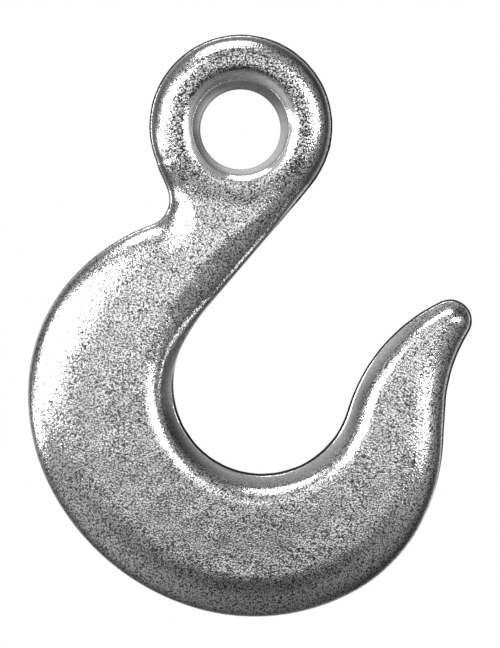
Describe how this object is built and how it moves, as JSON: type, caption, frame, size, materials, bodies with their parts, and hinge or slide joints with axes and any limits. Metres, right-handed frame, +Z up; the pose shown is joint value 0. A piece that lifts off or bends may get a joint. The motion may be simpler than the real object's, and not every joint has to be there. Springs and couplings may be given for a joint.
{
  "type": "eye slip hook",
  "caption": "Forged steel eye slip hook for the end of a trailer safety chain: round eye, wide bowl and an out-turned point, with no latch.",
  "frame": {"origin": "centre of the eye hole, on the parting plane of the forging", "axes": "+Y along the eye hole, away from the side shown; +Z up the load line towards the chain; +X towards the point of the hook"},
  "size_m": [0.0888, 0.0136, 0.1164],
  "materials": {
    "zinc_plated_steel": "bright zinc plating over grainy drop-forged steel"
  },
  "bodies": {
    "root": {"hook_forging": "zinc_plated_steel"}
  },
  "joints": []
}
